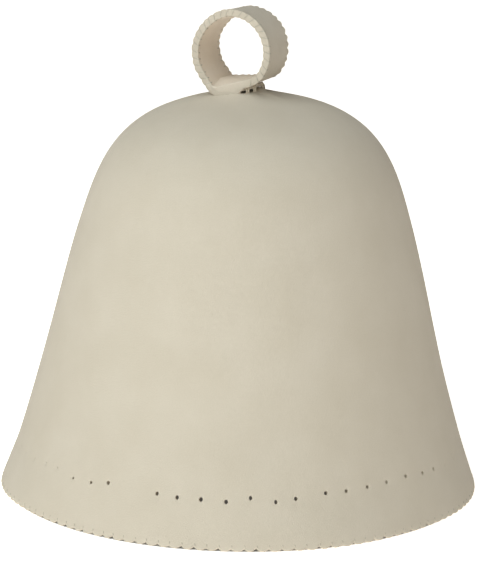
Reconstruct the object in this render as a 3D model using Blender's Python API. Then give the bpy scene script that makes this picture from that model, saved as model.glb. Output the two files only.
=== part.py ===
"""Felt sauna hat: a bell of pressed felt with a pierced row above its rim, and a
felt strip looped into a ring on its crown to hang it by.

The frame is in metres, +Z up. The origin is the centre of the rim, on the plane
that the rim stands on. The ring of the loop opens along Y, so X runs sideways
across the ring.
"""

from math import cos, pi, radians, sin, sqrt, tan
from typing import NamedTuple

import bmesh
import bpy
import numpy as np
from mathutils import Matrix, Vector
from mathutils.geometry import interpolate_bezier

MM = 0.001

# Felt
WALL = 3.0 * MM                 # thickness of the bell's wall
STRIP_THICKNESS = 3.0 * MM

# Bell, outer side: the rim, a knot on the flank, and the apex
RIM_RADIUS = 125.0 * MM
RIM_SLOPE = radians(18.4)       # how far the wall leans in from upright
RIM_REACH = 68.0 * MM           # length of the curve handle that leaves the rim
FLANK_RADIUS = 87.1 * MM
FLANK_HEIGHT = 140.0 * MM
FLANK_SLOPE = radians(16.6)
FLANK_REACH_DOWN = 31.0 * MM
FLANK_REACH_UP = 36.0 * MM
CROWN_HEIGHT = 207.8 * MM
CROWN_REACH = 69.0 * MM         # the apex's handle, which keeps the crown broad
CROWN_LEAN = 3.3 * MM           # the crown's drift towards +X
LEAN_POWER = 1.5                # the drift grows mostly in the upper half
RIM_ROUNDING = 0.6 * MM
LOWER_STEPS = 5
UPPER_STEPS = 12

# Pierced row: one place to each facet of the turned wall, made by hand, so it
# wanders a little along the row and up the wall
HOLE_PLACES = 58
HOLE_START = radians(-20.4)     # azimuth of place 0, from -Y towards +X
HOLE_RADIUS = 0.95 * MM
HOLE_SIDES = 8
HOLE_HEIGHT = 25.0 * MM
CUTTER_LENGTH = 7.2 * MM
UNPIERCED_PLACE = 3             # the one place that was missed
ROW_WAVE = 1.1 * MM             # slow rise and fall of the whole row
ROW_WAVES = 4
ROW_WAVE_START = radians(46.0)
HOLE_NUDGES = {
    # place: (along the row, up the wall), in mm
    0: (0.4, -2.0),
    1: (0.6, -1.4),
    2: (-1.3, 0.7),
    4: (2.1, 0.5),
    5: (0.0, 0.1),
    6: (-0.5, 0.3),
    7: (-0.5, -0.2),
    8: (-1.0, 1.7),
    9: (-1.0, -0.7),
    10: (-3.6, 0.0),
    11: (0.0, 1.0),
    12: (-1.3, 0.3),
    13: (-1.3, 0.3),
    14: (-1.5, 0.5),
    15: (0.0, 0.9),
    16: (1.1, -0.2),
    17: (-1.1, -0.3),
}
WANDER_ALONG = 0.9              # mm, for the places that the table leaves out
WANDER_ALONG_RATE = 2.4         # radians from one place to the next
WANDER_UP = 0.6                 # mm
WANDER_UP_RATE = 1.7


class Knot(NamedTuple):
    """A point of the strip's middle line, seen along Y, in mm from the crown's
    apex. The heading is in degrees from +X, and a reach is a curve handle's length."""
    across: float
    up: float
    heading: float
    reach_before: float
    reach_after: float


# Hanging loop
STRIP_WIDTH = 25.0 * MM
LOOP_LEAN = radians(2.8)        # the ring leans back, towards +Y
LOOP_KNOTS = {
    "tail end": Knot(9.2, 4.6, 189.5, 0.0, 5.0),
    "tack point": Knot(-8.0, 1.7, 180.0, 6.0, 7.0),
    "left side": Knot(-22.8, 24.0, 90.0, 11.0, 9.6),
    "top": Knot(-2.8, 43.7, 0.0, 9.6, 11.4),
    "right side": Knot(17.6, 24.3, -90.0, 11.0, 7.0),
    "landing": Knot(11.1, 10.2, -150.0, 4.0, 5.0),
    "ring end": Knot(-9.6, 6.4, 180.0, 8.0, 0.0),
}
SPAN_STEPS = 40                 # steps from knot to knot, before they are evened out
SCALLOP_PITCH = 3.7 * MM        # one overcast stitch of the strip's long edges
SCALLOP_DEPTH = 0.8 * MM
SCALLOP_STEPS = 4
EDGE_ROUNDING = 0.7 * MM
TAIL_TIP = 3.0 * MM             # half the blunt tip of the tail's rounded end
ROLL_STATIONS = (
    # share of the strip's length, and how far its far edge rolls into the ring there
    (0.00, 0.0),
    (0.10, 0.0),
    (0.20, radians(5.0)),
    (0.36, 0.0),
    (0.66, 0.0),
    (1.00, radians(5.0)),
)

FELT_COLOUR = (0.66, 0.60, 0.47, 1.0)
LOOP_COLOUR = (0.62, 0.56, 0.44, 1.0)
FELT_ROUGHNESS = 0.95
SHARP_ANGLE = radians(45.0)
MERGE_DISTANCE = 0.01 * MM


def clear_scene():
    for obj in list(bpy.data.objects):
        bpy.data.objects.remove(obj, do_unlink=True)


def felt_material(name, colour):
    material = bpy.data.materials.new(name)
    material.use_nodes = True
    shader = material.node_tree.nodes["Principled BSDF"]
    shader.inputs["Base Color"].default_value = colour
    shader.inputs["Roughness"].default_value = FELT_ROUGHNESS
    shader.inputs["Metallic"].default_value = 0.0
    return material


def object_from(bm, name):
    mesh = bpy.data.meshes.new(name)
    bm.to_mesh(mesh)
    bm.free()
    obj = bpy.data.objects.new(name, mesh)
    bpy.context.scene.collection.objects.link(obj)
    return obj


def finish_felt(obj, material):
    obj.data.materials.append(material)
    obj.data.shade_smooth()
    obj.data.set_sharp_from_angle(angle=SHARP_ANGLE)


def up_the_wall(slope):
    """Direction along the wall, upwards, in the radius and height plane."""
    return Vector((-sin(slope), cos(slope)))


def outer_profile():
    """Radius and height of the bell's outer side, from the rim to the apex."""
    rim = Vector((RIM_RADIUS, 0.0))
    flank = Vector((FLANK_RADIUS, FLANK_HEIGHT))
    apex = Vector((0.0, CROWN_HEIGHT))
    above_rim = rim + up_the_wall(RIM_SLOPE) * RIM_REACH
    below_flank = flank - up_the_wall(FLANK_SLOPE) * FLANK_REACH_DOWN
    above_flank = flank + up_the_wall(FLANK_SLOPE) * FLANK_REACH_UP
    beside_apex = apex + Vector((CROWN_REACH, 0.0))
    lower = interpolate_bezier(rim, above_rim, below_flank, flank, LOWER_STEPS + 1)
    upper = interpolate_bezier(flank, above_flank, beside_apex, apex, UPPER_STEPS + 1)
    return lower + upper[1:]


def inner_profile(outer):
    """The same curve one wall thickness inside, from the apex down to the rim."""
    inner = [Vector((0.0, CROWN_HEIGHT - WALL))]
    for before, here, after in reversed(list(zip(outer, outer[1:], outer[2:]))):
        along = (after - before).normalized()
        outward = Vector((along.y, -along.x))
        inner.append(here - outward * WALL)
    inner.append(Vector((RIM_RADIUS - WALL / cos(RIM_SLOPE), 0.0)))
    return inner


def lean_at(height):
    return CROWN_LEAN * max(height / CROWN_HEIGHT, 0.0) ** LEAN_POWER


def is_rim_edge(edge):
    """True for the edges that run round the rim's flat foot."""
    a, b = (vert.co for vert in edge.verts)
    on_floor = max(a.z, b.z) < MERGE_DISTANCE
    return on_floor and abs(a.xy.length - b.xy.length) < MERGE_DISTANCE


def turned_bell():
    """The closed profile of the wall, spun once round, then leaned."""
    outer = outer_profile()
    bm = bmesh.new()
    verts = [bm.verts.new((p.x, 0.0, p.y)) for p in outer + inner_profile(outer)]
    on_axis = [vert for vert in verts if vert.co.x < MERGE_DISTANCE]
    edges = [bm.edges.new(pair) for pair in zip(verts, verts[1:] + verts[:1])
             if not set(pair) <= set(on_axis)]
    first_seam = Matrix.Rotation(HOLE_START - pi / 2 - pi / HOLE_PLACES, 4, "Z")
    bmesh.ops.transform(bm, matrix=first_seam, verts=bm.verts)
    bmesh.ops.spin(bm, geom=verts + edges, cent=(0, 0, 0), axis=(0, 0, 1), angle=2 * pi,
                   steps=HOLE_PLACES, use_merge=True)
    bmesh.ops.remove_doubles(bm, verts=bm.verts, dist=MERGE_DISTANCE)
    bmesh.ops.recalc_face_normals(bm, faces=bm.faces)
    rim_edges = [edge for edge in bm.edges if is_rim_edge(edge)]
    bmesh.ops.bevel(bm, geom=rim_edges, offset=RIM_ROUNDING, offset_type="OFFSET",
                    affect="EDGES", segments=2, profile=0.5, material=-1)
    for vert in bm.verts:
        vert.co.x += lean_at(vert.co.z)
    return bm


def wall_frame(azimuth, height):
    """Where a place on the outer wall is, as a matrix whose Z points outwards."""
    profile = outer_profile()
    low, high = next(pair for pair in zip(profile, profile[1:]) if pair[1].y > height)
    radius = low.lerp(high, (height - low.y) / (high.y - low.y)).x
    along = (high - low).normalized()
    face_out = Vector((along.y, 0.0, -along.x)).to_track_quat("Z", "Y").to_matrix().to_4x4()
    turn = Matrix.Rotation(azimuth - pi / 2, 4, "Z")
    lean = Matrix.Translation((lean_at(height), 0.0, 0.0))
    return lean @ turn @ Matrix.Translation((radius, 0.0, height)) @ face_out


def hole_places():
    """Azimuth and height of each pierced hole."""
    for place in range(HOLE_PLACES):
        if place == UNPIERCED_PLACE:
            continue
        azimuth = HOLE_START + place * 2 * pi / HOLE_PLACES
        wander = (WANDER_ALONG * sin(WANDER_ALONG_RATE * place),
                  WANDER_UP * sin(WANDER_UP_RATE * place))
        along, up = HOLE_NUDGES.get(place, wander)
        wave = ROW_WAVE * sin(ROW_WAVES * (azimuth - ROW_WAVE_START))
        yield azimuth + along * MM / RIM_RADIUS, HOLE_HEIGHT + wave + up * MM


def hole_cutter():
    """A short prism through the wall for each hole, in a single wire object."""
    bm = bmesh.new()
    for azimuth, height in hole_places():
        through = wall_frame(azimuth, height) @ Matrix.Translation((0.0, 0.0, -WALL / 2))
        bmesh.ops.create_cone(bm, cap_ends=True, segments=HOLE_SIDES, radius1=HOLE_RADIUS,
                              radius2=HOLE_RADIUS, depth=CUTTER_LENGTH, matrix=through)
    cutter = object_from(bm, "hole_cutter")
    cutter.hide_render = True
    cutter.display_type = "WIRE"
    return cutter


def build_bell():
    bell = object_from(turned_bell(), "felt_bell")
    pierce = bell.modifiers.new("pierced row", "BOOLEAN")
    pierce.operation = "DIFFERENCE"
    pierce.solver = "EXACT"
    pierce.object = hole_cutter()
    finish_felt(bell, felt_material("pressed_felt", FELT_COLOUR))


def heading_vector(degrees):
    return Vector((cos(radians(degrees)), sin(radians(degrees))))


def strip_line():
    """The strip's middle line from the tail's end to the ring's end: the length
    walked at each of its even steps, and the points."""
    knots = list(LOOP_KNOTS.values())
    raw = []
    for first, second in zip(knots, knots[1:]):
        start = Vector((first.across, first.up))
        end = Vector((second.across, second.up))
        leaving = start + heading_vector(first.heading) * first.reach_after
        arriving = end - heading_vector(second.heading) * second.reach_before
        raw += interpolate_bezier(start * MM, leaving * MM, arriving * MM, end * MM, SPAN_STEPS)
    walked = np.cumsum([0.0] + [(b - a).length for a, b in zip(raw, raw[1:])])
    count = round(walked[-1] / SCALLOP_PITCH) * SCALLOP_STEPS
    stops = np.linspace(0.0, walked[-1], count + 1)
    across = np.interp(stops, walked, [point.x for point in raw])
    up = np.interp(stops, walked, [point.y for point in raw])
    return stops, [Vector(pair) for pair in zip(across, up)]


def half_width(from_tail):
    """Half the strip's width, which rounds off over the tail's last stretch."""
    full = STRIP_WIDTH / 2
    inside = max(full - from_tail, 0.0)
    return max(sqrt(full ** 2 - inside ** 2), TAIL_TIP)


def strip_section(here, along, half, roll):
    """One closed ring of points across the strip, its long edges rounded."""
    inward = Vector((along.y, -along.x))
    thick = STRIP_THICKNESS / 2
    shoulder = half - EDGE_ROUNDING
    flat = thick - EDGE_ROUNDING
    corners = ((-shoulder, thick), (shoulder, thick), (half, flat), (half, -flat),
               (shoulder, -thick), (-shoulder, -thick), (-half, -flat), (-half, flat))
    points = []
    for y, off in corners:
        place = here + inward * (off + y * tan(roll))
        points.append(Vector((place.x, y, place.y)))
    return points


def build_loop():
    """The strip: rounded sections bridged along its line, with a cap at each end."""
    walked, line = strip_line()
    last = len(line) - 1
    bm = bmesh.new()
    sections = []
    for index, here in enumerate(line):
        along = (line[min(index + 1, last)] - line[max(index - 1, 0)]).normalized()
        valley = 1.0 - abs(sin(pi * index / SCALLOP_STEPS))
        half = half_width(walked[index]) - SCALLOP_DEPTH * valley
        roll = np.interp(walked[index] / walked[-1], *zip(*ROLL_STATIONS))
        ring = [bm.verts.new(co) for co in strip_section(here, along, half, roll)]
        sections.append([bm.edges.new(pair) for pair in zip(ring, ring[1:] + ring[:1])])
        if index in (0, last):
            bm.faces.new(ring)
    for first, second in zip(sections, sections[1:]):
        bmesh.ops.bridge_loops(bm, edges=first + second)
    bmesh.ops.recalc_face_normals(bm, faces=bm.faces)
    on_crown = Matrix.Translation((0.0, 0.0, CROWN_HEIGHT)) @ Matrix.Rotation(-LOOP_LEAN, 4, "X")
    bmesh.ops.transform(bm, matrix=on_crown, verts=bm.verts)
    finish_felt(object_from(bm, "hanging_loop"), felt_material("loop_felt", LOOP_COLOUR))


clear_scene()
build_bell()
build_loop()
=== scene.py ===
# %% [markdown]
# # A felt sauna hat
# This lesson dresses the plain model of a sauna hat: a bell of pressed wool felt with a row of
# small pierced holes above its rim, an overcast edge, and a strip of felt looped on its crown to
# hang it by. The plain model is loaded first and never changed, as it holds the sizes. Each
# visible piece is then built at the same place, as finely as it deserves.

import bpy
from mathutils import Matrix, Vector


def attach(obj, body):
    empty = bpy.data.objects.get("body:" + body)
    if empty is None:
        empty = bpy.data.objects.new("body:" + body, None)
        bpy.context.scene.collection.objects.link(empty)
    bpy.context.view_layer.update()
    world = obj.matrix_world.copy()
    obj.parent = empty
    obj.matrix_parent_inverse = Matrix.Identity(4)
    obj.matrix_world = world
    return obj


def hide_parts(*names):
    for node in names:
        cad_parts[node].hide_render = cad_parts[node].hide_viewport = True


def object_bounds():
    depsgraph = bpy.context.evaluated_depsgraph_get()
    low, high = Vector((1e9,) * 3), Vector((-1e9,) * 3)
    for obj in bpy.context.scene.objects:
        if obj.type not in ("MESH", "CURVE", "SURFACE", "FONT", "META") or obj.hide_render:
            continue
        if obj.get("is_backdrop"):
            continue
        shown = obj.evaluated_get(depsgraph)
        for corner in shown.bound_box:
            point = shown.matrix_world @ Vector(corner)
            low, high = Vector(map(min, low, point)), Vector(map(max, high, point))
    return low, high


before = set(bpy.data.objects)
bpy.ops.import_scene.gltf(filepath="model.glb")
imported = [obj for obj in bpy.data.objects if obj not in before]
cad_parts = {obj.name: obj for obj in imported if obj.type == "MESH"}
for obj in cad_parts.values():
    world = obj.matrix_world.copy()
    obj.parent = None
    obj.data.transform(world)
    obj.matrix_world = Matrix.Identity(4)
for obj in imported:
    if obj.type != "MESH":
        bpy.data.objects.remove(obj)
cad_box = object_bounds()

# %% Tools and units
from math import atan2, cos, exp, pi, radians, sin, tan
from typing import NamedTuple

import bmesh
import bpy
import numpy as np
from mathutils import Matrix, Vector, noise
from mathutils.geometry import interpolate_bezier
from mathutils.kdtree import KDTree

MM = 0.001
UP = Vector((0, 0, 1))


def fade(value, full, none):
    """1 at full and past it, 0 at none and past it, and smooth between the two."""
    share = min(max((none - value) / (none - full), 0.0), 1.0)
    return share * share * (3 - 2 * share)


def in_scene(name, data):
    """A new object with that data, linked into the scene."""
    made = bpy.data.objects.new(name, data)
    bpy.context.scene.collection.objects.link(made)
    return made


def as_mesh(bm, name):
    mesh = bpy.data.meshes.new(name)
    bm.to_mesh(mesh)
    bm.free()
    return mesh


# %% [markdown]
# ## The camera
# A product photo is taken from far away with a long lens, so the hat's sides hardly converge. The
# camera could be placed by eye, but the picture gives it: the rim's ellipse tells its height, and
# the hat's size in pixels its lens. It is turned a little off the hat's middle, because the
# picture isn't centred on it.

# %% Stand the camera where the photo was taken
PHOTO_WIDTH, PHOTO_HEIGHT = 497, 568
FOCAL_PIXELS = 3425.0
SENSOR_MM = 36.0
CAMERA_AZIMUTH = radians(26.0)  # from -Y, the front, towards +X
CAMERA_ELEVATION = radians(13.69)
CAMERA_ROLL = radians(0.708)
CAMERA_DISTANCE = 1.8
HAT_MIDDLE = UP * 0.11
MIDDLE_ACROSS, MIDDLE_DOWN = 241.63, 278.15  # the pixel where the hat's middle shows


def direction(azimuth, elevation=0.0):
    """Unit vector towards a place around the hat, its azimuth taken from -Y towards +X."""
    level = cos(elevation)
    return Vector((sin(azimuth) * level, -cos(azimuth) * level, sin(elevation)))


def standing_at(azimuth, elevation, distance, middle):
    """Matrix of a camera or lamp that looks at the middle from there."""
    back = direction(azimuth, elevation)
    look = back.to_track_quat("Z", "Y").to_matrix().to_4x4()
    return Matrix.Translation(middle + back * distance) @ look


def make_camera():
    data = bpy.data.cameras.new("photo_camera")
    data.sensor_width = SENSOR_MM
    data.lens = FOCAL_PIXELS / PHOTO_HEIGHT * SENSOR_MM
    camera = in_scene("photo_camera", data)
    sideways = (MIDDLE_ACROSS - PHOTO_WIDTH / 2) / FOCAL_PIXELS
    upwards = (MIDDLE_DOWN - PHOTO_HEIGHT / 2) / FOCAL_PIXELS
    standing = standing_at(CAMERA_AZIMUTH, CAMERA_ELEVATION, CAMERA_DISTANCE, HAT_MIDDLE)
    roll = Matrix.Rotation(CAMERA_ROLL, 4, "Z")
    off_middle = Matrix.Rotation(sideways, 4, "Y") @ Matrix.Rotation(upwards, 4, "X")
    camera.matrix_world = standing @ roll @ off_middle
    bpy.context.scene.camera = camera
    return camera


camera = make_camera()
print("lens %.1f mm" % camera.data.lens)

# %% [markdown]
# ## Helpers for materials
# In a script a node tree is a list of nodes and links. A few small helpers keep it readable: they
# fill a node's sockets, add a node with its settings, and open a group with named sockets.

# %% Node helpers
def fill(tree, node, inputs):
    """Types values on the node's sockets, or links other sockets to them."""
    for name, value in inputs.items():
        if isinstance(value, bpy.types.NodeSocket):
            tree.links.new(value, node.inputs[name])
        else:
            node.inputs[name].default_value = value


def add(tree, kind, inputs=None, **settings):
    """A new node with its sockets filled. Settings are its properties."""
    made = tree.nodes.new(kind)
    for name, value in settings.items():
        setattr(made, name, value)
    fill(tree, made, inputs or {})
    return made


def maths(tree, operation, first, second):
    return add(tree, "ShaderNodeMath", {0: first, 1: second}, operation=operation).outputs[0]


def remap(tree, value, low, high, to_low=0.0, to_high=1.0):
    """The value's range from low to high, spread over another range and kept inside it."""
    sockets = {"Value": value, "From Min": low, "From Max": high, "To Min": to_low, "To Max": to_high}
    return add(tree, "ShaderNodeMapRange", sockets).outputs["Result"]


def blend_colours(tree, share, first, second):
    sockets = {0: share, 6: first, 7: second}  # a Mix node's own numbers for its colours
    return add(tree, "ShaderNodeMix", sockets, data_type="RGBA").outputs[2]


def open_group(name, inputs, outputs):
    """A new node group. Inputs and outputs map a socket's name to its type."""
    group = bpy.data.node_groups.new(name, "ShaderNodeTree")
    for socket, kind in inputs.items():
        group.interface.new_socket(socket, in_out="INPUT", socket_type=kind)
    for socket, kind in outputs.items():
        group.interface.new_socket(socket, in_out="OUTPUT", socket_type=kind)
    return group, group.nodes.new("NodeGroupInput"), group.nodes.new("NodeGroupOutput")


def place_group(tree, group, inputs):
    return add(tree, "ShaderNodeGroup", inputs, node_tree=group).outputs


# %% [markdown]
# ## Felt fibres
# Felt isn't woven. Its wool is matted together, so close up it shows short hairs that lie every
# way, and a weave texture would be wrong. Three layers of noise are each stretched along a
# direction of their own, and the highest wins at every point, as the topmost hair does. The group
# also gives a height, so that the hairs that tint the felt also catch the light.

# %% The fibre group
FIBRE_TURNS = ((0.0, 0.0, 0.3), (0.7, 1.2, 0.2), (1.9, 0.4, 2.3))
STRAND_RANGE = (0.45, 0.80)  # noise where a hair starts to show, and where it is whole
STRAND_ROUNDNESS = 0.8


def fibre_group():
    group, given, out = open_group(
        "felt_fibres",
        {"Vector": "NodeSocketVector", "Thickness": "NodeSocketFloat", "Length": "NodeSocketFloat"},
        {"Strands": "NodeSocketFloat", "Height": "NodeSocketFloat"})
    across = maths(group, "DIVIDE", 1.0, given.outputs["Thickness"])
    along = maths(group, "DIVIDE", 1.0, given.outputs["Length"])
    stretch = add(group, "ShaderNodeCombineXYZ", {"X": along, "Y": across, "Z": across}).outputs[0]
    top = None
    for turn in FIBRE_TURNS:
        turned = add(group, "ShaderNodeVectorRotate", {"Vector": given.outputs["Vector"], "Rotation": turn},
                     rotation_type="EULER_XYZ").outputs[0]
        laid = add(group, "ShaderNodeVectorMath", {0: turned, 1: stretch}, operation="MULTIPLY").outputs[0]
        hairs = add(group, "ShaderNodeTexNoise",
                    {"Vector": laid, "Scale": 1.0, "Detail": 2.0, "Roughness": 0.55, "Distortion": 0.9})
        value = hairs.outputs[0]
        top = value if top is None else maths(group, "MAXIMUM", top, value)
    strands = remap(group, top, *STRAND_RANGE)
    height = maths(group, "POWER", strands, STRAND_ROUNDNESS)
    fill(group, out, {"Strands": strands, "Height": height})
    return group


FIBRES = fibre_group()
print(FIBRES.name, len(FIBRES.nodes), "nodes")

# %% [markdown]
# ## Clouds
# Wool takes its colour unevenly, and pressed felt is a little thicker in one place than in the
# next. One soft noise serves both. It is a group too, as the bell and the strip both use it, each
# with its own size of cloud.

# %% The cloud group
def cloud_group():
    group, given, out = open_group(
        "soft_clouds",
        {"Vector": "NodeSocketVector", "Size": "NodeSocketFloat", "Edge": "NodeSocketFloat"},
        {"Mask": "NodeSocketFloat"})
    scale = maths(group, "DIVIDE", 1.0, given.outputs["Size"])
    field = add(group, "ShaderNodeTexNoise",
                {"Vector": given.outputs["Vector"], "Scale": scale, "Detail": 3.0, "Roughness": 0.5})
    low = maths(group, "SUBTRACT", 0.5, given.outputs["Edge"])
    high = maths(group, "ADD", 0.5, given.outputs["Edge"])
    fill(group, out, {"Mask": remap(group, field.outputs[0], low, high)})
    return group


CLOUDS = cloud_group()
print(CLOUDS.name, len(CLOUDS.nodes), "nodes")

# %% [markdown]
# ## The felt and the thread
# The felt is a pale cream, warmed and cooled by the clouds and broken up by its hairs. Pressed
# felt is nearly matt, so its sheen is far weaker than velvet's. The strip's outer face is a shade
# greyer, while the face inside its ring is painted warmer and paler: painted light, for the light
# that the felt catches inside the ring. Two materials would meet in a hard line there, so the mesh
# carries a share from 0 to 1, and one material blends by it. Values that are the same everywhere
# are typed on the shader itself.

# %% Felt and thread materials
class FeltLook(NamedTuple):
    """Colours and sizes of one felt: pale and deep are what the clouds blend."""
    pale: tuple
    deep: tuple
    hair: tuple
    hair_share: float
    hair_thickness: float
    hair_length: float
    cloud_size: float
    fibre_relief: float
    cloud_relief: float


BELL_LOOK = FeltLook((0.646, 0.578, 0.473, 1), (0.611, 0.543, 0.436, 1), (0.493, 0.431, 0.332, 1),
                     0.20, 0.35 * MM, 2.4 * MM, 26 * MM, 0.10 * MM, 0.25 * MM)
STRIP_LOOK = FeltLook((0.631, 0.563, 0.462, 1), (0.582, 0.514, 0.415, 1), (0.463, 0.401, 0.312, 1),
                      0.25, 0.30 * MM, 2.0 * MM, 9 * MM, 0.10 * MM, 0.15 * MM)
# The ring's inside: the same felt painted paler and warmer, as painted light for the light caught inside
# the ring.
RING_LIT_LOOK = STRIP_LOOK._replace(pale=(0.820, 0.725, 0.608, 1), deep=(0.775, 0.672, 0.550, 1),
                                hair=(0.620, 0.525, 0.410, 1))
FELT_ROUGHNESS = 0.95
FELT_SHEEN = 0.06
SHEEN_ROUGHNESS = 0.6
SHINE = 0.2
CLOUD_EDGE = 0.22
THREAD_ROUGHNESS = 0.8
THREAD_HAIR = (0.09 * MM, 0.6 * MM)  # thickness and length
THREAD_RELIEF = 0.03 * MM
FINE_COLOURS = ((0.525, 0.480, 0.395, 1), (0.440, 0.395, 0.315, 1))  # pale, deep
# The heavy thread is pale, partly its own colour and partly painted light that lifts the tack stitches
# where they sit in the ring's shadow.
HEAVY_LIT_COLOURS = ((0.800, 0.720, 0.580, 1), (0.680, 0.600, 0.470, 1))
# Share of painted light on the strip: 1 inside its ring, 0 outside.
LIT_INSIDE_SHARE = "ring_inside_lit"  # the strip's attribute: 1 inside its ring, 0 outside


def open_material(name, roughness, shine=SHINE):
    material = bpy.data.materials.new(name)
    material.use_nodes = True
    tree = material.node_tree
    shader = tree.nodes["Principled BSDF"]
    fill(tree, shader, {"Roughness": roughness, "Specular IOR Level": shine})
    where = add(tree, "ShaderNodeTexCoord").outputs["Object"]
    return material, tree, shader, where


def place_fibres(tree, where, thickness, length):
    return place_group(tree, FIBRES, {"Vector": where, "Thickness": thickness, "Length": length})


def felt_colour(tree, look, fibres, clouds):
    ground = blend_colours(tree, clouds["Mask"], look.pale, look.deep)
    hairs = maths(tree, "MULTIPLY", fibres["Strands"], look.hair_share)
    return blend_colours(tree, hairs, ground, look.hair)


def felt_material(name, look, lit_inside_look=None):
    """A felt, and where its piece has a ring's inside, the paler look painted there as painted light."""
    material, tree, shader, where = open_material(name, FELT_ROUGHNESS)
    fill(tree, shader, {"Sheen Weight": FELT_SHEEN, "Sheen Roughness": SHEEN_ROUGHNESS})
    fibres = place_fibres(tree, where, look.hair_thickness, look.hair_length)
    clouds = place_group(tree, CLOUDS, {"Vector": where, "Size": look.cloud_size, "Edge": CLOUD_EDGE})
    colour = felt_colour(tree, look, fibres, clouds)
    # Inside the ring the colour is blended towards a paler, warmer look: painted light.
    if lit_inside_look:
        share = add(tree, "ShaderNodeAttribute", attribute_name=LIT_INSIDE_SHARE).outputs["Fac"]
        colour = blend_colours(tree, share, colour, felt_colour(tree, lit_inside_look, fibres, clouds))
    lumps = add(tree, "ShaderNodeBump", {"Height": clouds["Mask"], "Distance": look.cloud_relief})
    nap = add(tree, "ShaderNodeBump", {"Height": fibres["Height"], "Distance": look.fibre_relief,
                                       "Normal": lumps.outputs[0]})
    fill(tree, shader, {"Base Color": colour, "Normal": nap.outputs[0]})
    return material


def thread_material(name, pale, deep):
    material, tree, shader, where = open_material(name, THREAD_ROUGHNESS)
    fibres = place_fibres(tree, where, *THREAD_HAIR)
    colour = blend_colours(tree, fibres["Strands"], pale, deep)
    nap = add(tree, "ShaderNodeBump", {"Height": fibres["Height"], "Distance": THREAD_RELIEF})
    fill(tree, shader, {"Base Color": colour, "Normal": nap.outputs[0]})
    return material


BELL_FELT = felt_material("bell_felt", BELL_LOOK)
STRIP_FELT = felt_material("strip_felt", STRIP_LOOK, lit_inside_look=RING_LIT_LOOK)
FINE_THREAD = thread_material("fine_thread", *FINE_COLOURS)
HEAVY_THREAD = thread_material("heavy_thread", *HEAVY_LIT_COLOURS)
print("materials:", [made.name for made in (BELL_FELT, STRIP_FELT, FINE_THREAD, HEAVY_THREAD)])

# %% [markdown]
# ## Finishing a piece
# Every piece ends the same way: its mesh gets a material and smooth shading, and its object rides
# on the hat's one body. The places are in the meshes, and the objects all stay at the origin.

# %% The last steps of every piece
SHARP_ANGLE = radians(50.0)


def finish_piece(bm, name, material):
    mesh = as_mesh(bm, name)
    mesh.materials.append(material)
    mesh.shade_smooth()
    mesh.set_sharp_from_angle(angle=SHARP_ANGLE)
    piece = in_scene(name, mesh)
    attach(piece, "root")
    triangles = sum(len(face.vertices) - 2 for face in mesh.polygons)
    print(name, triangles, "triangles")
    return piece


# %% [markdown]
# ## The outline of the bell
# A felt hat is steamed over a block, so its outline is one smooth curve. Two Bezier spans hold
# it: one up the flank and one over the crown. A screw modifier could turn it, but the spin
# operator lets the script reach the rows afterwards, for the rim and the holes.

# %% Outline of the felt, outside and inside
WALL = 3.0 * MM
RIM_RADIUS = 125.0 * MM
RIM_SLOPE = radians(18.4)  # how far the wall leans in from upright
RIM_REACH = 68.0 * MM  # length of the curve handle that leaves the rim
FLANK_RADIUS = 87.1 * MM
FLANK_HEIGHT = 140.0 * MM
FLANK_SLOPE = radians(16.6)
FLANK_REACH_DOWN = 31.0 * MM
FLANK_REACH_UP = 36.0 * MM
CROWN_HEIGHT = 207.8 * MM
CROWN_REACH = 69.0 * MM
CROWN_LEAN = 3.3 * MM  # the crown's drift towards +X
LEAN_POWER = 1.5
OUTSIDE_STEPS = (28, 26)  # rows on the flank, and over the crown
CROWN_FINER = 5  # times as many rows close to the apex
INSIDE_STEPS = (14, 13)


def up_the_wall(slope):
    return Vector((-sin(slope), cos(slope)))


def outline(steps, fine_within=0.0):
    """Radius and height of the bell's outer side, from the rim to the apex. Its rows are closer
    together within that distance of the axis."""
    rim = Vector((RIM_RADIUS, 0.0))
    flank = Vector((FLANK_RADIUS, FLANK_HEIGHT))
    apex = Vector((0.0, CROWN_HEIGHT))
    above_rim = rim + up_the_wall(RIM_SLOPE) * RIM_REACH
    below_flank = flank - up_the_wall(FLANK_SLOPE) * FLANK_REACH_DOWN
    above_flank = flank + up_the_wall(FLANK_SLOPE) * FLANK_REACH_UP
    beside_apex = apex + Vector((CROWN_REACH, 0.0))
    lower = interpolate_bezier(rim, above_rim, below_flank, flank, steps[0] + 1)
    upper = interpolate_bezier(flank, above_flank, beside_apex, apex, steps[1] * CROWN_FINER + 1)
    kept = [point for number, point in enumerate(upper)
            if number % CROWN_FINER == 0 or point.x < fine_within]
    return lower + kept[1:]


def inside_outline(steps):
    """The same curve one wall thickness inside, from the apex down to the rim."""
    outer = outline(steps)
    inner = [Vector((0.0, CROWN_HEIGHT - WALL))]
    for before, here, after in reversed(list(zip(outer, outer[1:], outer[2:]))):
        along = (after - before).normalized()
        inner.append(here - Vector((along.y, -along.x)) * WALL)
    inner.append(Vector((RIM_RADIUS - WALL / cos(RIM_SLOPE), 0.0)))
    return inner


OUTLINE = outline((60, 60))
OUTLINE_RADII = [point.x for point in OUTLINE]
OUTLINE_HEIGHTS = [point.y for point in OUTLINE]


def radius_at(height):
    return float(np.interp(height, OUTLINE_HEIGHTS, OUTLINE_RADII))


def crown_at(radius):
    """Height of the felt's outer side at that distance from the bell's own axis."""
    return float(np.interp(radius, OUTLINE_RADII[::-1], OUTLINE_HEIGHTS[::-1]))


def lean_at(height):
    return CROWN_LEAN * max(height / CROWN_HEIGHT, 0.0) ** LEAN_POWER


def plain_crown(x, y):
    """Height of the leaned crown at that place, before the loop draws it up."""
    return crown_at(Vector((x - lean_at(CROWN_HEIGHT), y)).length)


print("widest", 2 * radius_at(0.0) / MM, "mm, crown", crown_at(0.0) / MM, "mm")

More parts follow.
